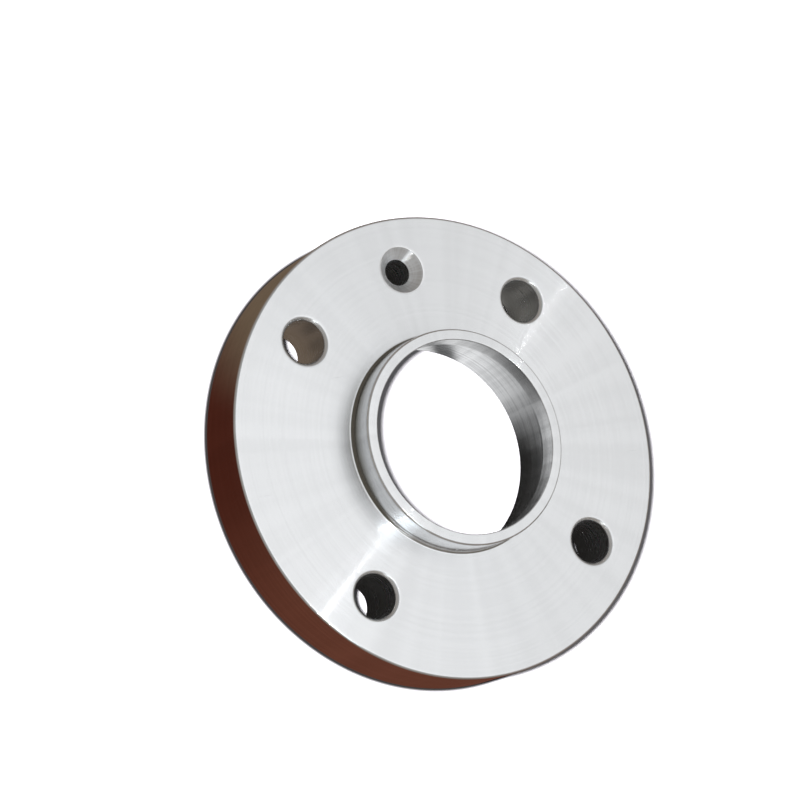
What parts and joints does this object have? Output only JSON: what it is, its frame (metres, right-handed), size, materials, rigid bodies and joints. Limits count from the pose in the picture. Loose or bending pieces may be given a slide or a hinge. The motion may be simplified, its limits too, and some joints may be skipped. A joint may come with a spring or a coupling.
{
  "type": "wheel spacer",
  "caption": "Turned aluminium disc that sits between a wheel hub and a wheel, with a bore for the hub, a centring ring for the wheel, through bolt holes and a countersunk locating screw hole.",
  "frame": {"origin": "on the bore axis, at the hub-side face that the disc lies on", "axes": "+Z along the bore axis towards the wheel, +Y towards the countersunk screw hole"},
  "size_m": [0.14, 0.14, 0.0293],
  "materials": {
    "turned_aluminium": "turned, natural"
  },
  "bodies": {
    "root": {"wheel_spacer": "turned_aluminium"}
  },
  "joints": []
}
